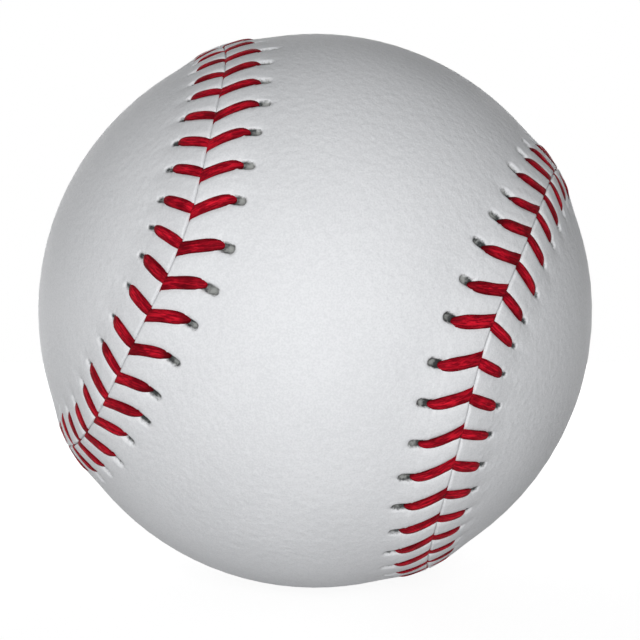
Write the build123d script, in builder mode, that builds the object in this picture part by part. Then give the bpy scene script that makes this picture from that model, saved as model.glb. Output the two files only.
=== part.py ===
from build123d import *
import os
from math import cos, pi, radians, sin

# A baseball, built from the inside out: a cork core, two rubber shells with a gasket between
# them, a moulded rubber layer, three wool windings, a fine cotton winding, two figure-eight
# leather panels and the red thread that laces them together along one closed seam.
# Millimetres. The origin is the ball's centre. Both panels are alike: the front one has its waist
# at -Y and its lobes above and below, the back one its waist at +Y and its lobes at the sides.

# Pill: core and rubber
core_diameter = 20.6
black_rubber_thickness = 4.0
gasket_thickness = 1.0
red_rubber_thickness = 2.4

# Windings and cover
inner_wool_thickness = 14.7
white_wool_thickness = 1.8
outer_wool_thickness = 2.2
cotton_thickness = 0.5
leather_thickness = 1.0
layer_clearance = 0.02

# Seam: width of a panel at its waist, how far the lobes swing round, and the turn about Y
waist_width = 31.9
seam_swing_share = 0.38
seam_turn = 19.2
seam_gap = 0.3
seam_guide_points = 96

# Stitches: each of the seam's four bends carries the same number
seam_bends = 4
stitches_per_bend = 27
first_stitch_share = 0.4
thread_width = 1.3
thread_height = 0.8
thread_clearance = 0.05
thread_inside_bend_radius = 0.2
hole_offset = 3.6
hole_lead = 2.1

# Cuts run past the leather by this much
cut_overrun = 2.0

# Radii worked out from the layers
core_radius = core_diameter / 2
black_radius = core_radius + black_rubber_thickness
wound_layers = {
    "red_rubber_layer": red_rubber_thickness,
    "inner_wool_winding": inner_wool_thickness,
    "white_wool_winding": white_wool_thickness,
    "outer_wool_winding": outer_wool_thickness,
    "cotton_winding": cotton_thickness,
}
winding_radius = black_radius + sum(wound_layers.values())
lining_radius = winding_radius + layer_clearance
ball_radius = winding_radius + leather_thickness

# Thread sizes worked out from its section
passage_radius = thread_width / 2 + thread_clearance
thread_bend_radius = thread_height / 2 + thread_inside_bend_radius
thread_path_radius = ball_radius + thread_clearance + thread_height / 2
stitch_count = seam_bends * stitches_per_bend
stitch_shares = [(number + first_stitch_share) / stitch_count for number in range(stitch_count)]

os.makedirs("parts", exist_ok=True)


def finish(part, label):
    """Name a finished piece and write it out."""
    part.label = label
    export_step(part, f"parts/{label}.step")
    print(f"{label}: {len(part.solids())} solids, {part.volume:.1f} mm3")


def seam_point(share):
    """A point of the seam on the leather's surface, at a share of the seam's own parameter."""
    lap = 4 * pi * share
    waist_angle = waist_width / 2 / ball_radius
    lean = pi / 2 - (pi / 2 - waist_angle) * cos(lap)
    swing = lap / 2 + seam_swing_share * sin(2 * lap) + radians(seam_turn)
    direction = Vector(sin(lean) * sin(swing), cos(lean), sin(lean) * cos(swing))
    return direction * ball_radius


with BuildLine() as seam:
    seam_line = Spline(
        *[seam_point(number / seam_guide_points) for number in range(seam_guide_points)],
        periodic=True,
    )


def beside_seam(share, aside=0, ahead=0):
    """Direction from the ball's centre to a place beside the seam, on the front panel.

    share is the place along the seam's length, aside the distance from the seam's middle towards
    the front panel's inside, and ahead the distance along the seam.
    """
    middle = seam_line @ share
    along = seam_line % share
    across = along.cross(middle).normalized()
    return (middle + across * aside + along * ahead).normalized()


def panel_edge(radius):
    """Arcs of the front panel's edge at one radius: plain runs, with a scallop round each thread."""
    half_pitch_share = 1 / stitch_count / 2
    runs = []
    for share, next_share in zip(stitch_shares, stitch_shares[1:] + stitch_shares[:1]):
        scallop_start = beside_seam(share, seam_gap / 2, -passage_radius) * radius
        scallop_floor = beside_seam(share, 2 * passage_radius) * radius
        scallop_end = beside_seam(share, seam_gap / 2, passage_radius) * radius
        run_middle = beside_seam((share + half_pitch_share) % 1, seam_gap / 2) * radius
        run_end = beside_seam(next_share, seam_gap / 2, -passage_radius) * radius
        runs.append(ThreePointArc(scallop_start, scallop_floor, scallop_end))
        runs.append(ThreePointArc(scallop_end, run_middle, run_end))
    return runs


# Cork core
with BuildPart() as cork_core:
    Sphere(core_radius)
finish(cork_core.part, "cork_core")

# Black rubber shells, upper and lower, parted by the gasket
with BuildPart() as black_shell_upper:
    Sphere(black_radius)
    Sphere(core_radius + layer_clearance, mode=Mode.SUBTRACT)
    split(bisect_by=Plane.XY.offset(gasket_thickness / 2), keep=Keep.TOP)
finish(black_shell_upper.part, "black_shell_upper")

with BuildPart() as black_shell_lower:
    mirror(black_shell_upper.part, about=Plane.XY)
finish(black_shell_lower.part, "black_shell_lower")

# Red rubber gasket that seals the joint between the two shells
with BuildPart() as shell_gasket:
    Sphere(black_radius)
    Sphere(core_radius + layer_clearance, mode=Mode.SUBTRACT)
    split(bisect_by=Plane.XY.offset(gasket_thickness / 2), keep=Keep.BOTTOM)
    split(bisect_by=Plane.XY.offset(-gasket_thickness / 2), keep=Keep.TOP)
finish(shell_gasket.part, "shell_gasket")

# Moulded rubber layer and windings, each on the one before
inside_radius = black_radius
for layer_label, layer_thickness in wound_layers.items():
    with BuildPart() as wound_layer:
        Sphere(inside_radius + layer_thickness)
        Sphere(inside_radius + layer_clearance, mode=Mode.SUBTRACT)
    finish(wound_layer.part, layer_label)
    inside_radius += layer_thickness

# Front leather panel: a spherical shell parted along the seam, with a punched hole for each stitch
drill_radius = ball_radius + cut_overrun
drill_depth = leather_thickness + 2 * cut_overrun
edge_runs = zip(panel_edge(drill_radius - drill_depth), panel_edge(drill_radius))
edge_wall = Shell([Face.make_surface_from_curves(low, high) for low, high in edge_runs])
hole_directions = [beside_seam(share, hole_offset, hole_lead) for share in stitch_shares]
hole_planes = [Plane(heading * drill_radius, z_dir=heading) for heading in hole_directions]
with BuildPart() as cover_panel_front:
    Sphere(ball_radius, rotation=(90, 0, 0))
    Sphere(lining_radius, rotation=(90, 0, 0), mode=Mode.SUBTRACT)
    split(bisect_by=edge_wall, keep=Keep.ALL)
    add(cover_panel_front.solids().sort_by(Axis.Y)[0], mode=Mode.REPLACE)
    with Locations(*hole_planes):
        Hole(passage_radius, depth=drill_depth)
finish(cover_panel_front.part, "cover_panel_front")

# One stitch leg in its own plane: up through the seam, over the leather and down the hole
tail_directions = [beside_seam(share, passage_radius) for share in stitch_shares]
leg_span = tail_directions[0].get_angle(hole_directions[0])
with BuildPart() as stitch_leg:
    with BuildLine() as leg_path:
        tail_foot = Vector(lining_radius, 0)
        tail_top = Vector(thread_path_radius, 0)
        Line(tail_foot, tail_top)
        CenterArc((0, 0), thread_path_radius, 0, leg_span)
        Line(tail_top.rotate(Axis.Z, leg_span), tail_foot.rotate(Axis.Z, leg_span))
        bends = leg_path.vertices().sort_by_distance((0, 0))[-2:]
        fillet(bends, radius=thread_bend_radius)
    with BuildSketch(Plane(leg_path.line @ 0, x_dir=(0, 1, 0), z_dir=leg_path.line % 0)):
        Ellipse(thread_height / 2, thread_width / 2)
    sweep()

# Front legs: the same leg set at every stitch, in the plane of its seam tail and its hole
leg_planes = [
    Plane((0, 0, 0), x_dir=tail, z_dir=tail.cross(hole))
    for tail, hole in zip(tail_directions, hole_directions)
]
stitches_front = Compound([stitch_leg.part.solid().moved(plane.location) for plane in leg_planes])
finish(stitches_front, "stitches_front")

# The back panel and its legs are the front ones mirrored and turned by a quarter
with BuildPart() as cover_panel_back:
    add(cover_panel_front.part.solid().mirror(Plane.XZ).rotate(Axis.Y, 90))
finish(cover_panel_back.part, "cover_panel_back")

stitches_back = stitches_front.mirror(Plane.XZ).rotate(Axis.Y, 90)
finish(stitches_back, "stitches_back")
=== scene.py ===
import logging
from dataclasses import dataclass, field
from enum import Enum
from math import cos, pi, radians, sqrt
from typing import Any, Callable, Sequence, Union

import bmesh
import bpy
import numpy as np
from mathutils import Matrix, Vector


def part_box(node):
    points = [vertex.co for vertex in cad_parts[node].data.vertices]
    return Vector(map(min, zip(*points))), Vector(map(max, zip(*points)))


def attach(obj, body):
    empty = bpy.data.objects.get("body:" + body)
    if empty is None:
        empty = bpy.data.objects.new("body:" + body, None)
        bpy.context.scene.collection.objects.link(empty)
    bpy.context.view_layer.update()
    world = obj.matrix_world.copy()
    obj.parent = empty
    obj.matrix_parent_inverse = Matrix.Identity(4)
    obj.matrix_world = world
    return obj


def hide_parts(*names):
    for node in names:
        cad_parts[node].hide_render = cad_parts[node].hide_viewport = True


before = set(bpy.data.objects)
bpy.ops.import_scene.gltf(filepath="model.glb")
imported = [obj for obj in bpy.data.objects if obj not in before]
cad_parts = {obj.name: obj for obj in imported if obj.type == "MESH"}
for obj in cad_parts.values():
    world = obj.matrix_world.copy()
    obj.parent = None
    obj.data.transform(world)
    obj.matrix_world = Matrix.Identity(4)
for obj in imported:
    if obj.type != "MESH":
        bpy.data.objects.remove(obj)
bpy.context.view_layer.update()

log = logging.getLogger("baseball")

# The classes below hold their sizes in millimetres, and meshes are made in metres
METRES_PER_MM = 0.001
BODY = "root"
STITCH_COUNT = 108

# Amounts that a panel's points carry for the leather's material
LEATHER_MARKS = ("slot", "hole", "crease")

Colour = tuple[float, float, float]
Triple = tuple[float, float, float]
Pair = tuple[float, float]
Number = Union[float, "Value"]
Layer = bmesh.types.BMLayerItem
Settler = Callable[[bmesh.types.BMVert], None]


class Side(Enum):
    """The two leather panels: FRONT has its waist towards the viewer, BACK behind the ball."""

    FRONT = 1
    BACK = -1


class Value:
    """A number that changes over a surface: an output socket with arithmetic."""

    def __init__(self, graph: "ShaderGraph", socket: bpy.types.NodeSocket) -> None:
        """Wrap one output socket.

        Args:
            graph: the graph that the socket belongs to.
            socket: the output socket.
        """
        self.graph = graph
        self.socket = socket

    def __add__(self, other: Number) -> "Value":
        """Sum."""
        return self.graph.math("ADD", self, other)

    def __radd__(self, other: Number) -> "Value":
        """Sum, with the number first."""
        return self.graph.math("ADD", other, self)

    def __sub__(self, other: Number) -> "Value":
        """Difference."""
        return self.graph.math("SUBTRACT", self, other)

    def __rsub__(self, other: Number) -> "Value":
        """Difference, with the number first."""
        return self.graph.math("SUBTRACT", other, self)

    def __mul__(self, other: Number) -> "Value":
        """Product."""
        return self.graph.math("MULTIPLY", self, other)

    def __rmul__(self, other: Number) -> "Value":
        """Product, with the number first."""
        return self.graph.math("MULTIPLY", other, self)

    def larger(self, other: Number) -> "Value":
        """The larger of two numbers."""
        return self.graph.math("MAXIMUM", self, other)

    def between(self, low: float, high: float) -> "Value":
        """A smooth step from 0 at low to 1 at high.

        Args:
            low: the number at which the step starts.
            high: the number at which it ends.

        Returns:
            The step, from 0 to 1.
        """
        settings = {"interpolation_type": "SMOOTHSTEP"}
        inputs = {"Value": self, "From Min": low, "From Max": high}
        return self.graph.value("ShaderNodeMapRange", settings, inputs)


class ShaderGraph:
    """A node tree that is written as expressions."""

    def __init__(self, owner: Union[bpy.types.Material, bpy.types.World, bpy.types.Light]) -> None:
        """Empty the owner's node tree and take it over.

        Args:
            owner: the material, world or lamp whose nodes are written.
        """
        owner.use_nodes = True
        self.tree = owner.node_tree
        self.tree.nodes.clear()

    def node(self, kind: str, settings: dict[str, Any], inputs: dict[Any, Any]) -> bpy.types.Node:
        """Add a node.

        Args:
            kind: the node's type.
            settings: its options, set before its sockets are used.
            inputs: a value, a Value or a socket for each input, by name or number.

        Returns:
            The node.
        """
        made = self.tree.nodes.new(kind)
        for name, setting in settings.items():
            setattr(made, name, setting)
        for name, given in inputs.items():
            socket = made.inputs[name]
            if isinstance(given, Value):
                self.tree.links.new(given.socket, socket)
            elif isinstance(given, bpy.types.NodeSocket):
                self.tree.links.new(given, socket)
            else:
                socket.default_value = given
        return made

    def value(
        self, kind: str, settings: dict[str, Any], inputs: dict[Any, Any], output: Any = 0
    ) -> Value:
        """Add a node and keep one of its outputs.

        Args:
            kind: the node's type.
            settings: its options.
            inputs: its inputs, as for node.
            output: the name or number of the output.

        Returns:
            The output as a value.
        """
        return Value(self, self.node(kind, settings, inputs).outputs[output])

    def math(self, operation: str, first: Number, second: Number) -> Value:
        """Add a Math node.

        Args:
            operation: the node's operation.
            first: its first number.
            second: its second number.

        Returns:
            The result.
        """
        return self.value("ShaderNodeMath", {"operation": operation}, {0: first, 1: second})

    def place(self) -> bpy.types.NodeSocket:
        """Object coordinates, in metres."""
        return self.node("ShaderNodeTexCoord", {}, {}).outputs["Object"]

    def attribute(self, name: str) -> Value:
        """A number kept on the mesh's points."""
        return self.value("ShaderNodeAttribute", {"attribute_name": name}, {}, "Fac")

    def noise(
        self, place: Any, size: float, detail: float = 2.0, roughness: float = 0.5, warp: float = 0.0
    ) -> Value:
        """A cloudy pattern.

        Args:
            place: the coordinates, in metres.
            size: about how large one cloud is, in millimetres.
            detail: how many finer layers it has.
            roughness: how strong the finer layers are.
            warp: how far the pattern is drawn out of shape.

        Returns:
            The pattern, about 0.5 on average.
        """
        scale = 1.0 / (size * METRES_PER_MM)
        inputs = {"Vector": place, "Scale": scale, "Detail": detail, "Roughness": roughness}
        return self.value("ShaderNodeTexNoise", {}, {**inputs, "Distortion": warp}, 0)

    def cells(self, place: Any, size: float, feature: str = "F1") -> Value:
        """A pattern of cells.

        Args:
            place: the coordinates, in metres.
            size: about how large one cell is, in millimetres.
            feature: which distance is measured.

        Returns:
            The distance, 0 at a cell's middle, or at its edge where that is the feature.
        """
        scale = 1.0 / (size * METRES_PER_MM)
        inputs = {"Vector": place, "Scale": scale}
        return self.value("ShaderNodeTexVoronoi", {"feature": feature}, inputs, "Distance")

    def stretched(self, place: Any, turn: Triple, scale: Triple) -> bpy.types.NodeSocket:
        """Coordinates that are turned and scaled.

        Args:
            place: the coordinates.
            turn: angles about X, Y and Z.
            scale: factors along X, Y and Z.

        Returns:
            The new coordinates.
        """
        inputs = {"Vector": place, "Rotation": turn, "Scale": scale}
        return self.node("ShaderNodeMapping", {"vector_type": "POINT"}, inputs).outputs[0]

    def mix(self, factor: Number, first: Any, second: Any) -> bpy.types.NodeSocket:
        """Mix two colours.

        Args:
            factor: 0 for the first colour, 1 for the second.
            first: a colour or a colour socket.
            second: a colour or a colour socket.

        Returns:
            The mixed colour.
        """
        colour = {6: first, 7: second}
        inputs = {key: (*c, 1.0) if isinstance(c, tuple) else c for key, c in colour.items()}
        return self.node("ShaderNodeMix", {"data_type": "RGBA"}, {0: factor, **inputs}).outputs[2]

    def bump(self, height: Value, depth: float, strength: float) -> bpy.types.NodeSocket:
        """A relief from a pattern.

        Args:
            height: the pattern, from 0 to 1.
            depth: the depth of the relief, in millimetres.
            strength: the share of it that shows.

        Returns:
            The normal.
        """
        inputs = {"Strength": strength, "Distance": depth * METRES_PER_MM, "Height": height}
        return self.node("ShaderNodeBump", {}, inputs).outputs[0]

    def surface(self, inputs: dict[str, Any]) -> None:
        """Close the graph with one principled surface.

        Args:
            inputs: the surface's inputs.
        """
        shader = self.node("ShaderNodeBsdfPrincipled", {}, inputs)
        self.node("ShaderNodeOutputMaterial", {}, {"Surface": shader.outputs[0]})


@dataclass(frozen=True)
class LeatherFinish:
    """White alum-tanned cowhide with a fine grain; dirt and painted shade in the cut holes, painted
    shade along the crease.
    """

    white: Colour = (0.815, 0.825, 0.845)
    shade: Colour = (0.745, 0.757, 0.777)
    # Grey inside the cut holes, part cut leather and part painted shade; also the painted shade along
    # the crease
    cut_grey_and_shade: Colour = (0.30, 0.31, 0.30)
    # Near black, painted shade deep in the holes where the thread dives in, mixed there with dirt
    hollow: Colour = (0.025, 0.028, 0.028)
    pebble: float = 0.75
    wrinkle: float = 0.42
    speckle: float = 0.19
    patch: float = 9.0
    mottle: float = 0.42
    relief: float = 0.095
    tone_range: Pair = (0.62, 0.38)
    soiling_range: Pair = (0.38, 0.58)
    rim_range: Pair = (0.60, 1.20)
    dirt_and_shade_range: Pair = (0.42, 0.82)
    slot_range: Pair = (0.30, 0.80)
    slot_fraying: float = 0.7
    # Share of painted shade along the crease
    crease_shade: float = 0.32
    roughness: float = 0.56
    roughness_spread: float = 0.16
    gloss: float = 0.35

    def material(self) -> bpy.types.Material:
        """Make the material, which reads the amounts on the panel's points.

        Returns:
            The material.
        """
        made = bpy.data.materials.new("white_leather")
        graph = ShaderGraph(made)
        place = graph.place()
        pebbles = 1.0 - graph.cells(place, self.pebble, "SMOOTH_F1")
        wrinkles = graph.noise(place, self.wrinkle, detail=3.0, roughness=0.6, warp=0.6)
        patches = graph.noise(place, self.patch, detail=3.0)
        slot, hole, crease = (graph.attribute(name) for name in LEATHER_MARKS)
        speckles = graph.noise(place, self.speckle, detail=1.0)
        tone = (patches * 0.22 + wrinkles * 0.23 + speckles * 0.55).between(*self.tone_range)
        leather = graph.mix(tone, self.white, self.shade)
        mottle = graph.noise(place, self.mottle, detail=2.0, roughness=0.6)
        soiling = graph.noise(place, self.patch, detail=1.0).between(*self.soiling_range)
        # Painted shade: the slots are darker at their rim and where the thread dives in (hole), mixed
        # with mottled dirt and soiling
        rim = 1.0 - slot.between(*self.rim_range)
        stain_and_shade = rim * 0.22 + mottle * 0.70 + hole * 0.26 + soiling * 0.16
        inside = graph.mix(stain_and_shade.between(*self.dirt_and_shade_range), self.cut_grey_and_shade, self.hollow)
        frayed = slot + (mottle - 0.5) * self.slot_fraying
        holed = graph.mix(frayed.between(*self.slot_range), leather, inside)
        # Painted shade: a thin grey line along the crease, where the seam's groove lies in shade
        crease_shaded = graph.mix(crease * self.crease_shade, holed, self.cut_grey_and_shade)
        grain = pebbles * 0.55 + wrinkles * 0.45
        graph.surface(
            {
                "Base Color": crease_shaded,
                "Roughness": self.roughness + wrinkles * self.roughness_spread,
                "Specular IOR Level": self.gloss,
                "Normal": graph.bump(grain, self.relief, 1.0),
            }
        )
        return made


@dataclass(frozen=True)
class ThreadFinish:
    """Waxed red cotton thread, with fibres that run along each leg, and painted shade on the legs' sides
    and sunk ends.
    """

    bright: Colour = (0.84, 0.014, 0.037)
    deep: Colour = (0.28, 0.003, 0.013)
    # Dark red for soiling, and for the painted shade on the legs' sides and sunk ends
    dark: Colour = (0.075, 0.0004, 0.003)
    fibre_turn: Triple = (0.0, 0.0, 0.16)
    fibre_scale: Triple = (0.0010, 0.006, 1.0)
    strand_turn: Triple = (0.0, 0.0, 0.22)
    strand_scale: Triple = (0.0004, 0.0022, 1.0)
    streak_range: Pair = (0.43, 0.58)
    soil: float = 3.2
    soil_range: Pair = (0.46, 0.66)
    soil_share: float = 0.55
    patch: float = 26.0
    patch_range: Pair = (0.42, 0.60)
    relief: float = 0.16
    roughness: float = 0.45
    roughness_spread: float = 0.25
    gloss: float = 0.04

    def material(self) -> bpy.types.Material:
        """Make the material, which reads the legs' own UV map.

        Returns:
            The material.
        """
        made = bpy.data.materials.new("red_waxed_thread")
        graph = ShaderGraph(made)
        along = graph.node("ShaderNodeUVMap", {"uv_map": "leg"}, {}).outputs[0]
        fibre_place = graph.stretched(along, self.fibre_turn, self.fibre_scale)
        strand_place = graph.stretched(along, self.strand_turn, self.strand_scale)
        fibres = graph.noise(fibre_place, 1.0, detail=3.0, roughness=0.65)
        strands = graph.noise(strand_place, 1.0, detail=1.0)
        place = graph.place()
        soil = graph.noise(place, self.soil, detail=2.0)
        sunk_shade = graph.attribute("sunk_shade")
        patch = graph.noise(place, self.patch, detail=1.0).between(*self.patch_range)
        flank_shade = graph.attribute("flank_shade")
        streaks = (fibres * 0.65 + strands * 0.35).between(*self.streak_range)
        red = graph.mix(streaks, self.deep, self.bright)
        worn = graph.mix(soil.between(*self.soil_range) * self.soil_share, red, self.dark)
        # Painted shade: each leg is darker on its sides, where the round thread turns away from the
        # light
        flank_shaded = graph.mix(flank_shade, worn, self.dark)
        # Painted shade where the legs sink into the seam and the holes, varied by a slow noise
        shaded = graph.mix(sunk_shade * (0.25 + patch * 0.75), flank_shaded, self.dark)
        graph.surface(
            {
                "Base Color": shaded,
                "Roughness": self.roughness + fibres * self.roughness_spread,
                "Specular IOR Level": self.gloss,
                "Normal": graph.bump(fibres * 0.6 + strands * 0.4, self.relief, 1.0),
            }
        )
        return made


@dataclass(frozen=True)
class CorkFinish:
    """Ground cork bound in rubber."""

    pale: Colour = (0.46, 0.29, 0.16)
    dark: Colour = (0.16, 0.08, 0.04)
    grain: float = 1.6
    fleck: float = 0.5
    relief: float = 0.3

    def material(self) -> bpy.types.Material:
        """Make the material.

        Returns:
            The material.
        """
        made = bpy.data.materials.new("cork_mix")
        graph = ShaderGraph(made)
        place = graph.place()
        grains = graph.cells(place, self.grain)
        flecks = graph.noise(place, self.fleck, detail=3.0)
        colour = graph.mix((grains * 0.6 + flecks * 0.6).between(0.35, 0.75), self.pale, self.dark)
        normal = graph.bump(grains * 0.5 + flecks * 0.5, self.relief, 0.6)
        graph.surface({"Base Color": colour, "Roughness": 0.75 + flecks * 0.2, "Normal": normal})
        return made


@dataclass(frozen=True)
class RubberFinish:
    """Moulded rubber with a dusty bloom."""

    name: str
    fresh: Colour
    bloom: Colour
    dust: float = 4.0
    pit: float = 0.25
    relief: float = 0.05

    def material(self) -> bpy.types.Material:
        """Make the material.

        Returns:
            The material.
        """
        made = bpy.data.materials.new(self.name)
        graph = ShaderGraph(made)
        place = graph.place()
        dust = graph.noise(place, self.dust, detail=4.0)
        pits = graph.noise(place, self.pit, detail=2.0)
        colour = graph.mix(dust.between(0.4, 0.75) * 0.5, self.fresh, self.bloom)
        normal = graph.bump(pits, self.relief, 0.5)
        graph.surface({"Base Color": colour, "Roughness": 0.55 + dust * 0.25, "Normal": normal})
        return made


@dataclass(frozen=True)
class YarnFinish:
    """Wool or cotton yarn with a fuzzy surface, whose material takes the given name."""

    name: str
    light: Colour
    dark: Colour
    fuzz: float = 0.3
    tint: float = 5.0
    relief: float = 0.12

    def material(self) -> bpy.types.Material:
        """Make the material.

        Returns:
            The material.
        """
        made = bpy.data.materials.new(self.name)
        graph = ShaderGraph(made)
        place = graph.place()
        fuzz = graph.noise(place, self.fuzz, detail=3.0, roughness=0.65)
        tint = graph.noise(place, self.tint, detail=2.0)
        tone = (fuzz * 0.6 + tint * 0.4).between(0.30, 0.62)
        colour = graph.mix(tone, self.dark, self.light)
        normal = graph.bump(fuzz, self.relief, 0.9)
        graph.surface({"Base Color": colour, "Roughness": 0.8 + fuzz * 0.15, "Normal": normal})
        return made


@dataclass
class Seam:
    """The closed line where the two panels meet, on the ball's surface."""

    ball_radius: float
    waist_width: float = 31.9
    swing_share: float = 0.38
    turn: float = radians(19.2)
    guide_points: int = 4320
    slope_step: float = 0.1
    line: np.ndarray = field(init=False)
    reach: np.ndarray = field(init=False)

    def __post_init__(self) -> None:
        """Lay the line out and measure it."""
        lap = np.linspace(0.0, 4.0 * pi, self.guide_points + 1)
        waist_angle = self.waist_width / 2.0 / self.ball_radius
        lean = pi / 2.0 - (pi / 2.0 - waist_angle) * np.cos(lap)
        swing = lap / 2.0 + self.swing_share * np.sin(2.0 * lap) + self.turn
        self.line = heading(lean, swing)
        steps = np.linalg.norm(np.diff(self.line, axis=0), axis=1) * self.ball_radius
        self.reach = np.concatenate([[0.0], np.cumsum(steps)])

    @property
    def length(self) -> float:
        """The seam's length, in millimetres."""
        return float(self.reach[-1])

    def middle(self, arc: np.ndarray) -> np.ndarray:
        """Headings of places on the seam.

        Args:
            arc: distances along the seam.

        Returns:
            Unit vectors, in the last axis.
        """
        wrapped = np.mod(arc, self.length)
        parts = [np.interp(wrapped, self.reach, self.line[:, axis]) for axis in range(3)]
        return unit(np.stack(parts, axis=-1))

    def beside(self, arc: np.ndarray, aside: np.ndarray) -> np.ndarray:
        """Headings of places beside the seam.

        Args:
            arc: distances along the seam.
            aside: distances from it, positive on the front panel.

        Returns:
            Unit vectors, in the last axis.
        """
        middle = self.middle(arc)
        along = unit(self.middle(arc + self.slope_step) - self.middle(arc - self.slope_step))
        angle = np.asarray(aside / self.ball_radius)[..., None]
        return middle * np.cos(angle) + np.cross(along, middle) * np.sin(angle)

    def gap(self, first: np.ndarray, second: np.ndarray) -> np.ndarray:
        """How far the first places lie after the second ones, by the shorter way round."""
        return np.mod(first - second + self.length / 2.0, self.length) - self.length / 2.0


@dataclass(frozen=True)
class LegSizes:
    """One leg of a stitch as it lies on a panel, measured from the stitch's tip on the seam."""

    start: float
    crossing: float
    hole_lead: float
    hole_offset: float
    slot_length: float
    slot_depth: float
    slot_share: float
    seam_half_width: float
    half_width: float
    end_width_share: float
    end_lean: float
    lift: float
    dive: float
    taper_start: float
    bend: float
    half_height: float = 0.27


@dataclass
class StitchPlan:
    """Where the legs on one panel lie, with the small differences of handwork."""

    seam: Seam
    side: Side
    sizes: LegSizes
    seed: int
    tip_share: float = 0.245
    drift_share: float = 0.125
    tip_seed: int = 5
    tip_play: float = 0.13
    hole_play: float = 0.16
    offset_play: float = 0.15
    slot_play: float = 0.14
    width_play: float = 0.06
    tips: np.ndarray = field(init=False)
    holes: np.ndarray = field(init=False)
    offsets: np.ndarray = field(init=False)
    slot_ends: np.ndarray = field(init=False)
    widths: np.ndarray = field(init=False)

    def __post_init__(self) -> None:
        """Set the stitches out along the seam."""
        number = np.arange(STITCH_COUNT)
        drift = self.drift_share * np.sin(2.0 * pi * number / STITCH_COUNT)
        pitch = self.seam.length / STITCH_COUNT
        shared = np.random.default_rng(self.tip_seed)
        own = np.random.default_rng(self.seed)
        even_tips = pitch * (number + self.tip_share - drift)
        self.tips = even_tips + shared.normal(0, self.tip_play, STITCH_COUNT)
        self.holes = self.tips + self.sizes.hole_lead + own.normal(0, self.hole_play, STITCH_COUNT)
        self.offsets = self.sizes.hole_offset + own.normal(0, self.offset_play, STITCH_COUNT)
        even_ends = self.offsets + self.sizes.slot_length
        self.slot_ends = even_ends + own.normal(0, self.slot_play, STITCH_COUNT)
        self.widths = self.sizes.half_width * (1.0 + own.normal(0, self.width_play, STITCH_COUNT))

    def arc(self, share: np.ndarray) -> np.ndarray:
        """Places of every leg's middle line along the seam.

        Args:
            share: how far out along the leg, 0 at the seam and 1 at the hole.

        Returns:
            Distances along the seam, one column for each leg.
        """
        start = self.tips + self.sizes.start
        out = 1.0 - np.clip(1.0 - share, 0.0, None) ** self.sizes.bend
        return start + (self.holes - start) * out

    def aside(self, share: np.ndarray) -> np.ndarray:
        """Distances of every leg's middle line from the seam, for a share of its length."""
        return (self.offsets + self.sizes.crossing) * share - self.sizes.crossing

    def share(self, aside: float) -> np.ndarray:
        """How far out along each leg a distance from the seam is, from 0 to 1."""
        return np.clip((aside + self.sizes.crossing) / (self.offsets + self.sizes.crossing), 0.0, 1.0)


def heading(lean: np.ndarray, swing: np.ndarray) -> np.ndarray:
    """Unit vectors from an angle off +Y and a turn about Y that starts at +Z.

    Args:
        lean: angles off +Y.
        swing: turns about Y.

    Returns:
        Unit vectors, in the last axis.
    """
    return np.stack([np.sin(lean) * np.sin(swing), np.cos(lean), np.sin(lean) * np.cos(swing)], axis=-1)


def unit(vectors: np.ndarray) -> np.ndarray:
    """Vectors of length 1, in the last axis."""
    return vectors / np.linalg.norm(vectors, axis=-1, keepdims=True)


def smooth(low: float, high: float, number: np.ndarray) -> np.ndarray:
    """A smooth step from 0 at low to 1 at high."""
    share = np.clip((number - low) / (high - low), 0.0, 1.0)
    return share * share * (3.0 - 2.0 * share)


def slide(first: np.ndarray, second: np.ndarray, share: float) -> np.ndarray:
    """Headings part of the way from one set to another.

    Args:
        first: unit vectors at share 0.
        second: unit vectors at share 1.
        share: how far along.

    Returns:
        Unit vectors.
    """
    return unit(first * (1.0 - share) + second * share)


def draw_out(
    mesh: bmesh.types.BMesh, edges: list[bmesh.types.BMEdge], settle: Settler
) -> list[bmesh.types.BMEdge]:
    """Extrude a ring of edges and settle its new points.

    Args:
        mesh: the mesh that holds the ring.
        edges: the ring's edges.
        settle: puts a new point in its place.

    Returns:
        The new ring's edges.
    """
    made = bmesh.ops.extrude_edge_only(mesh, edges=edges)["geom"]
    fresh = {item for item in made if isinstance(item, bmesh.types.BMVert)}
    for point in fresh:
        settle(point)
    drawn = [item for item in made if isinstance(item, bmesh.types.BMEdge)]
    return [edge for edge in drawn if fresh.issuperset(edge.verts)]


def put_in_order(mesh: bmesh.types.BMesh) -> None:
    """Sort edges and faces by their points, so that each run writes the same mesh.

    Args:
        mesh: the mesh.
    """
    mesh.verts.index_update()
    count = len(mesh.verts)

    def rank(item: Union[bmesh.types.BMEdge, bmesh.types.BMFace]) -> int:
        """A number that no other edge or face has."""
        numbers = sorted(point.index for point in item.verts)
        return (numbers[0] * count + numbers[1]) * count + numbers[-1]

    mesh.edges.sort(key=rank)
    mesh.faces.sort(key=rank)


def finish_piece(
    mesh: bmesh.types.BMesh, name: str, material: bpy.types.Material, node: str
) -> bpy.types.Object:
    """Make a piece of a finished bmesh, dress it and put it in the place of a CAD node.

    Args:
        mesh: the finished mesh, in metres.
        name: the piece's name.
        material: its material.
        node: the CAD node that it stands for.

    Returns:
        The piece.
    """
    put_in_order(mesh)
    for face in mesh.faces:
        face.smooth = True
    data = bpy.data.meshes.new(name)
    mesh.to_mesh(data)
    mesh.free()
    data.materials.append(material)
    piece = bpy.data.objects.new(name, data)
    bpy.context.scene.collection.objects.link(piece)
    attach(piece, BODY)
    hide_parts(node)
    return piece


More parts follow.
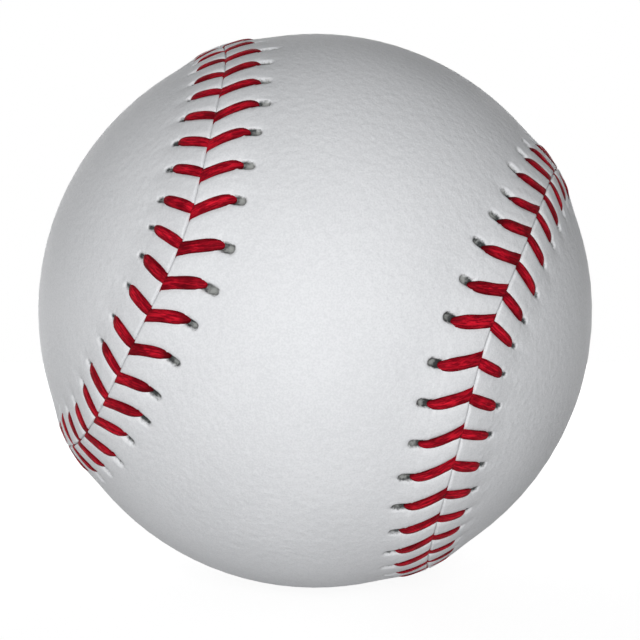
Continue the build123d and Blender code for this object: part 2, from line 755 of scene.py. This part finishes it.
@dataclass
class CoverPanel:
    """One figure-eight panel of leather, raised along the seam and pressed in by the thread."""

    plan: StitchPlan
    lining_radius: float
    places_per_stitch: int = 20
    band_counts: tuple[int, ...] = (0, 2, 6, 14, 28, 31)
    band_asides: tuple[float, ...] = (0.0, 0.10, 0.60, 3.40, 5.70, 7.10)
    field_rings: int = 9
    lining_rings: int = 3
    ridge_height: float = 0.55
    ridge_reach: float = 7.0
    crease_depth: float = 0.34
    crease_width: float = 0.08
    groove_width: float = 0.60
    groove_share: float = 1.12
    groove_end: Pair = (0.3, -0.5)
    slot_half_width: float = 0.44
    slot_start: float = 0.45
    slot_rim: float = 1.5
    hole_shift: float = 0.15
    hole_half_length: float = 0.45
    slot_lip: float = 0.03
    lip_place: float = 1.4
    lip_width: float = 0.25
    pit_range: Pair = (0.35, 1.1)
    pucker_start: float = 3.7
    pucker_depth: float = 0.14
    pucker_width: float = 0.85
    clean_share: float = 0.52
    grip_shift: float = 0.0125
    grip_power: int = 16
    lobe_reach: float = radians(103.0)
    lobe_share: float = 0.62
    merge_distance: float = 0.001

    def ridge(self, aside: float) -> float:
        """Height of the leather over the ball, away from any stitch.

        Args:
            aside: distance from the seam.

        Returns:
            The height.
        """
        swell = self.ridge_height * cos(pi / 2.0 * min(aside / self.ridge_reach, 1.0)) ** 2
        return swell - self.crease_depth * np.exp(-((aside / self.crease_width) ** 2))

    def soiled(self, arc: np.ndarray) -> np.ndarray:
        """How much dirt the slots hold: most in two short runs, where the ball is gripped.

        Args:
            arc: places along the seam.

        Returns:
            Shares, from 0 to 1.
        """
        lap = 2.0 * pi * (arc / self.plan.seam.length - self.grip_shift)
        gripped = np.sin(lap) ** self.grip_power
        return self.plan.sizes.slot_share * (self.clean_share + (1.0 - self.clean_share) * gripped)

    def relief(self, arc: np.ndarray, aside: float) -> tuple[np.ndarray, ...]:
        """The leather's relief along one line beside the seam.

        Args:
            arc: places along the seam.
            aside: the line's distance from it.

        Returns:
            Heights, and how much of a slot, a hole and the crease each place is.
        """
        plan = self.plan
        off = plan.seam.gap(arc[:, None], plan.arc(plan.share(aside))[None, :])
        under = smooth(*self.groove_end, aside - plan.offsets)
        groove = (np.exp(-((off / self.groove_width) ** 2)) * under).max(axis=1)
        half_length = (plan.slot_ends - plan.offsets + self.slot_start) / 2.0
        along = (aside - plan.slot_ends + half_length) / half_length
        spread = np.sqrt((off / self.slot_half_width) ** 2 + along**4)
        slot = np.clip(self.slot_rim - spread, 0.0, None).max(axis=1)
        # The hole amount marks where the thread dives in; the leather's material paints shade there
        inward = (aside - plan.offsets - self.hole_shift) / self.hole_half_length
        hole_spread = np.hypot(off / self.slot_half_width, inward)
        hole = np.clip(self.slot_rim - hole_spread, 0.0, None).max(axis=1)
        lip = self.slot_lip * np.exp(-(((spread - self.lip_place) / self.lip_width) ** 2)).max(axis=1)
        pit = plan.sizes.slot_depth * smooth(*self.pit_range, slot)
        fading = smooth(self.ridge_reach, self.pucker_start, aside) * (aside > self.pucker_start)
        pucker = self.pucker_depth * fading * np.exp(-((off / self.pucker_width) ** 2)).max(axis=1)
        height = self.ridge(aside) * (1.0 - self.groove_share * groove) - pit + lip - pucker
        crease = np.full_like(arc, np.exp(-((aside / self.crease_width) ** 2)))
        return height, slot * self.soiled(arc), hole * self.soiled(arc), crease

    def spine(self, share: np.ndarray) -> np.ndarray:
        """Headings along the panel's middle line that the field closes on.

        Args:
            share: places as shares of the seam's length.

        Returns:
            Unit vectors.
        """
        back = self.plan.side is Side.BACK
        # The back panel's course runs a quarter of the seam later than the front one's
        shifted = np.mod(share - (0.25 if back else 0.0), 1.0)
        climb = np.abs(4.0 * shifted - 2.0) - 1.0
        reach = self.lobe_reach * np.clip(climb / self.lobe_share, -1.0, 1.0)
        if back:
            return heading(reach, np.full_like(reach, self.plan.seam.turn + pi / 2.0))
        return heading(pi - reach, np.full_like(reach, self.plan.seam.turn))

    def build(self, material: bpy.types.Material) -> bpy.types.Object:
        """Model the panel as a closed sheet.

        Args:
            material: the leather.

        Returns:
            The panel.
        """
        seam = self.plan.seam
        sign = self.plan.side.value
        count = STITCH_COUNT * self.places_per_stitch
        arc = np.arange(count) * seam.length / count
        spine = self.spine(np.arange(count) / count)
        mesh = bmesh.new()
        number = mesh.verts.layers.int.new("place")
        marks = [mesh.verts.layers.float.new(name) for name in LEATHER_MARKS]
        seam_ring = bmesh.ops.create_circle(mesh, segments=count, radius=seam.ball_radius)["verts"]
        for place, point in enumerate(seam_ring):
            point[number] = place

        def settler(headings: np.ndarray, heights: np.ndarray, *amounts: np.ndarray) -> Settler:
            """Make what puts the points of one ring in place.

            Args:
                headings: where the ring's points lie, as unit vectors.
                heights: how far they stand over the ball.
                amounts: what they carry for each of the leather's marks.

            Returns:
                A function that settles one point.
            """
            points = headings * ((seam.ball_radius + heights) * METRES_PER_MM)[:, None]

            def settle(point: bmesh.types.BMVert) -> None:
                """Put one point in place and give it its amounts.

                Args:
                    point: the point, which knows its number in the ring.
                """
                place = point[number]
                point.co = points[place]
                for mark, amount in zip(marks, amounts):
                    point[mark] = amount[place]

            return settle

        def band(ring: int) -> Settler:
            """Make what puts the points of one ring beside the seam in place."""
            aside = float(np.interp(ring, self.band_counts, self.band_asides))
            return settler(seam.beside(arc, np.full(count, sign * aside)), *self.relief(arc, aside))

        settle_first = band(0)
        for point in seam_ring:
            settle_first(point)
        edges = first_edges = list(mesh.edges)
        for ring in range(1, self.band_counts[-1] + 1):
            edges = draw_out(mesh, edges, band(ring))
        bare = np.zeros(count)
        rim = seam.beside(arc, np.full(count, sign * self.band_asides[-1]))
        for ring in range(1, self.field_rings + 1):
            headings = slide(rim, spine, ring / self.field_rings)
            edges = draw_out(mesh, edges, settler(headings, bare))
        poles = [point for edge in edges for point in edge.verts]
        under = bare + self.lining_radius - seam.ball_radius
        edges = first_edges
        for ring in range(self.lining_rings + 1):
            headings = slide(seam.beside(arc, bare), spine, ring / self.lining_rings)
            edges = draw_out(mesh, edges, settler(headings, under))
        poles.extend(point for edge in edges for point in edge.verts)
        poles = list(dict.fromkeys(poles))
        bmesh.ops.remove_doubles(mesh, verts=poles, dist=self.merge_distance * METRES_PER_MM)
        bmesh.ops.recalc_face_normals(mesh, faces=mesh.faces)
        side = self.plan.side.name.lower()
        return finish_piece(mesh, f"leather_panel_{side}", material, f"cover_panel_{side}")


@dataclass
class StitchRow:
    """The legs of red thread on one panel."""

    plan: StitchPlan
    flare_share: float = 0.27
    corners: int = 8
    shares: tuple[float, ...] = (-0.03, 0.01, 0.09, 0.22, 0.42, 0.62, 0.80, 0.93, 1.04)
    heights: tuple[float, ...] = (-0.20, 0.16, 0.22, 0.25, 0.25, 0.21, 0.13, -0.08, -0.50)
    # Painted shade along each leg, darkest where it sinks into the seam and the hole
    sunk_shade: tuple[float, ...] = (0.8, 0.6, 0.42, 0.22, 0.06, 0.0, 0.25, 0.9, 1.0)
    slope_step: float = 0.01
    turn_share: float = 0.40
    dive_share: float = 0.30
    flatness: float = 0.6
    # How narrow the painted shade on the legs' sides is
    flank_shade_power: float = 2.2
    uv_gap: float = 3.0

    def sections(self) -> np.ndarray:
        """Points of every leg's cross-sections.

        Returns:
            Points in metres, by section, leg and corner.
        """
        plan = self.plan
        sizes = plan.sizes
        share = np.array(self.shares)[:, None]
        before, after = share - self.slope_step, share + self.slope_step
        ahead = plan.arc(after) - plan.arc(before)
        outward = plan.aside(after) - plan.aside(before)
        run = np.sqrt(ahead**2 + outward**2)
        turned = smooth(0.0, self.turn_share, share)
        across_arc = 1.0 - turned + turned * outward / run
        across_aside = -turned * ahead / run
        ending = np.clip((share - sizes.taper_start) / (1.0 - sizes.taper_start), 0.0, 1.0)
        taper = np.sqrt(1.0 - (1.0 - sizes.end_width_share**2) * ending**2)
        flare = 1.0 - smooth(0.0, self.flare_share, share)
        full_width = plan.widths + (sizes.seam_half_width - plan.widths) * flare
        width = full_width * taper
        arc = plan.arc(share) + sizes.end_lean * (full_width - width)
        aside = plan.aside(share)
        angle = 2.0 * pi * np.arange(self.corners) / self.corners
        spread = width[..., None] * np.cos(angle)
        thick = sizes.half_height * np.sign(np.sin(angle)) * np.abs(np.sin(angle)) ** self.flatness
        sinking = sizes.dive * (1.0 - smooth(0.0, self.dive_share, share))[..., None]
        heights = np.array(self.heights)[:, None, None] + sizes.lift - sinking + thick
        arcs = arc[..., None] + across_arc[..., None] * spread
        asides = aside[..., None] + across_aside[..., None] * spread
        headings = plan.seam.beside(arcs, plan.side.value * asides)
        return headings * ((plan.seam.ball_radius + heights) * METRES_PER_MM)[..., None]

    def build(self, material: bpy.types.Material) -> bpy.types.Object:
        """Model the legs as flattened tubes.

        Args:
            material: the thread.

        Returns:
            The row of legs.
        """
        points = self.sections()
        mesh = bmesh.new()
        corner = mesh.verts.layers.int.new("corner")
        section = mesh.verts.layers.int.new("section")
        number = mesh.verts.layers.int.new("number")
        sunk_shade = mesh.verts.layers.float.new("sunk_shade")
        flank_shade = mesh.verts.layers.float.new("flank_shade")
        angle = 2.0 * pi * np.arange(self.corners) / self.corners
        # Painted shade on the legs' sides: 1 at the two side corners of each section, 0 on top and below
        flank_shades = np.abs(np.cos(angle)) ** self.flank_shade_power
        for leg in range(STITCH_COUNT):
            disc = bmesh.ops.create_circle(mesh, cap_ends=True, segments=self.corners, radius=1.0)
            ring = disc["verts"]
            for place, point in enumerate(ring):
                point[corner] = place
                point[number] = leg
                point.co = points[0, leg, place]
                point[sunk_shade] = self.sunk_shade[0]
                point[flank_shade] = flank_shades[place]
            edges = list(dict.fromkeys(edge for point in ring for edge in point.link_edges))
            for step in range(1, len(self.shares)):

                def settle(point: bmesh.types.BMVert) -> None:
                    """Put one point of the new section in place.

                    Args:
                        point: the point, which knows its corner.
                    """
                    point.co = points[step, leg, point[corner]]
                    point[section] = step
                    point[sunk_shade] = self.sunk_shade[step]

                edges = draw_out(mesh, edges, settle)
            bmesh.ops.contextual_create(mesh, geom=edges)
        bmesh.ops.recalc_face_normals(mesh, faces=mesh.faces)
        self.unwrap(mesh, corner, section, number)
        side = self.plan.side.name.lower()
        piece = finish_piece(mesh, f"red_stitches_{side}", material, f"stitches_{side}")
        rounding = piece.modifiers.new("rounding", "SUBSURF")
        rounding.levels = rounding.render_levels = 1
        return piece

    def unwrap(self, mesh: bmesh.types.BMesh, corner: Layer, section: Layer, number: Layer) -> None:
        """Lay a UV map on the legs, in millimetres along and round each one.

        Args:
            mesh: the legs.
            corner: the layer with each point's place in its section.
            section: the layer with each point's section.
            number: the layer with each point's leg.
        """
        layer = mesh.loops.layers.uv.new("leg")
        length = sqrt(self.plan.sizes.hole_lead**2 + self.plan.sizes.hole_offset**2)
        for face in mesh.faces:
            wraps = {point[corner] for point in face.verts} == {0, self.corners - 1}
            for loop in face.loops:
                point = loop.vert
                turn = self.corners if wraps and point[corner] == 0 else point[corner]
                along = self.shares[point[section]] * length + self.uv_gap * length * point[number]
                loop[layer].uv = (along, turn / self.corners * 2.0 * pi * self.plan.sizes.half_width)


@dataclass
class Winding:
    """A layer of yarn, wound over the layer before it in turns that cross each other."""

    node: str
    under: str
    finish: YarnFinish
    yarn: float
    turns: int
    tilt_laps: float = 2.65
    swing_laps: float = 1.55
    points_per_turn: int = 40
    climb_share: float = 0.6
    bed_share: float = 0.75
    bed_fineness: int = 5
    clearance: float = 0.02

    def path(self, outer: float) -> np.ndarray:
        """Points of the yarn's middle line: a great circle that tilts and swings as it goes round.

        Args:
            outer: the layer's outside radius.

        Returns:
            Points in metres, the last turns over the first ones.
        """
        share = np.linspace(0.0, 1.0, self.turns * self.points_per_turn)
        around, tilt, swing = (
            2.0 * pi * laps * share for laps in (self.turns, self.tilt_laps, self.swing_laps)
        )
        level = np.sin(around) * np.cos(tilt)
        headings = [
            np.cos(around) * np.cos(swing) - level * np.sin(swing),
            np.cos(around) * np.sin(swing) + level * np.cos(swing),
            np.sin(around) * np.sin(tilt),
        ]
        reach = outer - self.yarn * (0.5 + self.climb_share * (1.0 - share))
        return np.stack(headings, axis=-1) * reach[:, None] * METRES_PER_MM

    def strand(self, outer: float) -> bpy.types.Mesh:
        """Draw the yarn as one unbroken tube.

        Args:
            outer: the layer's outside radius.

        Returns:
            The tube.
        """
        points = self.path(outer)
        curve = bpy.data.curves.new(self.node, "CURVE")
        curve.dimensions = "3D"
        curve.bevel_depth = self.yarn / 2.0 * METRES_PER_MM
        curve.bevel_resolution = 1
        curve.use_fill_caps = True
        spline = curve.splines.new("POLY")
        spline.points.add(len(points) - 1)
        spline.points.foreach_set("co", np.column_stack([points, np.ones(len(points))]).ravel())
        holder = bpy.data.objects.new(self.node, curve)
        tube = bpy.data.meshes.new_from_object(holder)
        bpy.data.objects.remove(holder)
        bpy.data.curves.remove(curve)
        return tube

    def build(self) -> bpy.types.Object:
        """Wind the yarn over a bed that closes the gaps between its turns.

        Returns:
            The layer.
        """
        outer, inner = (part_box(node)[1].z / METRES_PER_MM for node in (self.node, self.under))
        mesh = bmesh.new()
        tube = self.strand(outer)
        mesh.from_mesh(tube)
        bpy.data.meshes.remove(tube)
        bed = (outer - self.bed_share * self.yarn) * METRES_PER_MM
        bmesh.ops.create_icosphere(mesh, subdivisions=self.bed_fineness, radius=bed)
        hollow = (inner + self.clearance) * METRES_PER_MM
        lining = bmesh.ops.create_icosphere(mesh, subdivisions=self.bed_fineness, radius=hollow)["verts"]
        inward = {face for point in lining for face in point.link_faces}
        bmesh.ops.reverse_faces(mesh, faces=list(inward))
        name = self.node.replace("_winding", "_yarn")
        return finish_piece(mesh, name, self.finish.material(), self.node)


@dataclass
class Core:
    """The pieces inside the cover: cork and rubber keep their CAD shapes, and yarn is wound on."""

    cork: CorkFinish = CorkFinish()
    black: RubberFinish = RubberFinish("black_rubber", (0.018, 0.018, 0.019), (0.07, 0.07, 0.07))
    red: RubberFinish = RubberFinish("red_rubber", (0.36, 0.035, 0.03), (0.48, 0.12, 0.09))
    grey_wool: YarnFinish = YarnFinish("grey_wool", (0.42, 0.41, 0.40), (0.16, 0.16, 0.16))
    white_wool: YarnFinish = YarnFinish("white_wool", (0.80, 0.78, 0.72), (0.52, 0.50, 0.45))
    cotton: YarnFinish = YarnFinish("cotton_yarn", (0.84, 0.82, 0.76), (0.60, 0.58, 0.52), fuzz=0.2)

    def windings(self) -> list[Winding]:
        """List the layers of yarn.

        Returns:
            The layers, from the inside out.
        """
        rubber, inner, white, outer, cotton = (
            "red_rubber_layer", "inner_wool_winding", "white_wool_winding", "outer_wool_winding",
            "cotton_winding",
        )
        return [
            Winding(inner, rubber, self.grey_wool, yarn=1.4, turns=96),
            Winding(white, inner, self.white_wool, yarn=1.1, turns=120),
            Winding(outer, white, self.grey_wool, yarn=1.2, turns=120),
            Winding(cotton, outer, self.cotton, yarn=0.34, turns=240, climb_share=0.3),
        ]

    def build(self) -> None:
        """Give each rigid node its finish and wind the yarn."""
        wearers = {
            self.cork: ["cork_core"],
            self.black: ["black_shell_upper", "black_shell_lower"],
            self.red: ["shell_gasket", "red_rubber_layer"],
        }
        for finish, nodes in wearers.items():
            material = finish.material()
            for node in nodes:
                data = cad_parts[node].data
                data.materials.clear()
                data.materials.append(material)
                log.info("%s: %s", node, material.name)
        for winding in self.windings():
            layer = winding.build()
            log.info("%s: %d faces", layer.name, len(layer.data.polygons))


@dataclass
class Studio:
    """A pale floor, soft light and the camera where the photograph was taken."""

    ball_radius: float
    sight: Triple = (-0.0597, -0.9964, -0.0597)
    distance: float = 107.2
    lens: float = 42.5
    shift: Pair = (0.0076, -0.0145)
    near: float = 5.0
    key_place: Triple = (-9.5, -107.0, -1.5)
    key_width: float = 40.0
    key_power: float = 34.2
    fill_place: Triple = (-246.0, 43.0, 0.0)
    fill_width: float = 120.0
    fill_power: float = 0.075
    rear_turns: tuple[float, ...] = (-90.0, -45.0, 0.0, 45.0, 90.0)
    rear_lean: float = radians(42.0)
    rear_distance: float = 220.0
    rear_width: float = 120.0
    rear_power: float = 0.100
    ambient: Colour = (0.045, 0.046, 0.047)
    backdrop: Colour = (1.0, 1.0, 1.0)
    floor_width: float = 6000.0
    floor_white: Colour = (0.50, 0.50, 0.50)
    floor_glow: float = 1.27
    floor_glow_share: float = 0.72
    floor_fade: Pair = (60.0, 220.0)

    def set_camera(self) -> None:
        """Stand the camera where the photograph was taken from."""
        data = bpy.data.cameras.new("photo_view")
        data.lens = self.lens
        data.shift_x, data.shift_y = self.shift
        data.clip_start = self.near * METRES_PER_MM
        camera = bpy.data.objects.new("photo_view", data)
        outward = Vector(self.sight).normalized()
        right = Vector((0, 0, 1)).cross(outward).normalized()
        axes = Matrix((right, outward.cross(right), outward)).transposed().to_4x4()
        camera.matrix_world = Matrix.Translation(outward * self.distance * METRES_PER_MM) @ axes
        bpy.context.scene.collection.objects.link(camera)
        bpy.context.scene.camera = camera

    def set_light(self, name: str, place: Sequence[float], width: float, power: float) -> None:
        """Hang a round soft light that faces the ball.

        Args:
            name: the light's name.
            place: where it hangs.
            width: how wide it is.
            power: how strong it is, in watts.
        """
        data = bpy.data.lights.new(name, "AREA")
        data.shape = "DISK"
        data.size = width * METRES_PER_MM
        data.energy = power
        light = bpy.data.objects.new(name, data)
        light.location = Vector(place) * METRES_PER_MM
        light.rotation_euler = Vector(place).to_track_quat("Z", "Y").to_euler()
        light.visible_camera = False
        bpy.context.scene.collection.objects.link(light)

    def set_key(self) -> None:
        """Hang a round lamp beside the camera, whose light is the same at any distance."""
        data = bpy.data.lights.new("key", "POINT")
        data.shadow_soft_size = self.key_width / 2.0 * METRES_PER_MM
        data.energy = self.key_power
        graph = ShaderGraph(data)
        steady = graph.node("ShaderNodeLightFalloff", {}, {"Strength": 1.0}).outputs["Constant"]
        glow = graph.node("ShaderNodeEmission", {}, {"Strength": steady})
        graph.node("ShaderNodeOutputLight", {}, {"Surface": glow.outputs[0]})
        light = bpy.data.objects.new("key", data)
        light.location = Vector(self.key_place) * METRES_PER_MM
        light.visible_camera = False
        bpy.context.scene.collection.objects.link(light)

    def seen(self, graph: ShaderGraph) -> Value:
        """Pick the rays that show a background: straight, mirrored or through glass.

        Args:
            graph: the graph that uses them.

        Returns:
            1 for those rays, 0 for the others.
        """
        rays = graph.node("ShaderNodeLightPath", {}, {}).outputs
        straight = Value(graph, rays["Is Camera Ray"])
        mirrored = Value(graph, rays["Is Glossy Ray"])
        return straight.larger(mirrored).larger(Value(graph, rays["Is Transmission Ray"]))

    def set_world(self) -> None:
        """White all round for the eye, and a low even light for the ball."""
        world = bpy.data.worlds.new("white_studio")
        bpy.context.scene.world = world
        graph = ShaderGraph(world)
        colour = graph.mix(self.seen(graph), self.ambient, self.backdrop)
        glow = graph.node("ShaderNodeBackground", {}, {"Color": colour})
        graph.node("ShaderNodeOutputWorld", {}, {"Surface": glow.outputs[0]})

    def set_floor(self) -> None:
        """Lay the pale floor that the ball rests on."""
        mesh = bmesh.new()
        half = self.floor_width / 2.0 * METRES_PER_MM
        bmesh.ops.create_grid(mesh, x_segments=1, y_segments=1, size=half)
        bmesh.ops.translate(mesh, verts=mesh.verts, vec=(0, 0, -self.ball_radius * METRES_PER_MM))
        data = bpy.data.meshes.new("floor")
        mesh.to_mesh(data)
        mesh.free()
        floor = bpy.data.objects.new("floor", data)
        bpy.context.scene.collection.objects.link(floor)
        material = bpy.data.materials.new("pale_floor")
        graph = ShaderGraph(material)
        matte = graph.node("ShaderNodeBsdfDiffuse", {}, {"Color": (*self.floor_white, 1.0)})
        glow = graph.node("ShaderNodeEmission", {}, {"Strength": self.floor_glow})
        inputs = {0: graph.place()}
        spread = graph.value("ShaderNodeVectorMath", {"operation": "LENGTH"}, inputs, "Value")
        start, end = (reach * METRES_PER_MM for reach in self.floor_fade)
        faded = spread.between(start, end) * (1.0 - self.floor_glow_share) + self.floor_glow_share
        share = self.seen(graph) * faded
        sockets = {0: share, 1: matte.outputs[0], 2: glow.outputs[0]}
        mixed = graph.node("ShaderNodeMixShader", {}, sockets)
        graph.node("ShaderNodeOutputMaterial", {}, {"Surface": mixed.outputs[0]})
        data.materials.append(material)

    def build(self) -> None:
        """Set everything up."""
        bpy.context.scene.view_settings.view_transform = "Standard"
        self.set_camera()
        self.set_key()
        self.set_light("fill", self.fill_place, self.fill_width, self.fill_power)
        for number, turn in enumerate(np.radians(self.rear_turns)):
            place = heading(self.rear_lean, turn) * self.rear_distance
            self.set_light(f"rear_{number}", place, self.rear_width, self.rear_power)
        self.set_world()
        self.set_floor()


LEGS = {
    Side.FRONT: LegSizes(
        start=1.06, crossing=0.08, hole_lead=2.75, hole_offset=4.05,
        slot_length=1.45, slot_depth=0.40, slot_share=1.0,
        seam_half_width=1.10, half_width=0.71, end_width_share=0.50, end_lean=0.55,
        lift=0.06, dive=0.0, taper_start=0.62, bend=1.6,
    ),
    Side.BACK: LegSizes(
        start=1.50, crossing=0.40, hole_lead=2.35, hole_offset=3.85,
        slot_length=0.70, slot_depth=0.20, slot_share=0.72,
        seam_half_width=0.74, half_width=0.74, end_width_share=0.50, end_lean=0.9,
        lift=0.04, dive=0.24, taper_start=0.72, bend=1.25,
    ),
}
SEEDS = {Side.FRONT: 11, Side.BACK: 12}


def main() -> None:
    """Dress the ball and set up the studio."""
    logging.basicConfig(level=logging.INFO, format="%(message)s")
    ball_radius = -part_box("cover_panel_front")[0].y / METRES_PER_MM
    lining_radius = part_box("cotton_winding")[1].z / METRES_PER_MM
    seam = Seam(ball_radius)
    leather = LeatherFinish().material()
    thread = ThreadFinish().material()
    for side in Side:
        plan = StitchPlan(seam, side, LEGS[side], SEEDS[side])
        panel = CoverPanel(plan, lining_radius).build(leather)
        log.info("%s: %d faces", panel.name, len(panel.data.polygons))
        row = StitchRow(plan).build(thread)
        log.info("%s: %d faces", row.name, len(row.data.polygons))
    Core().build()
    Studio(ball_radius).build()


if __name__ == "__main__":
    main()
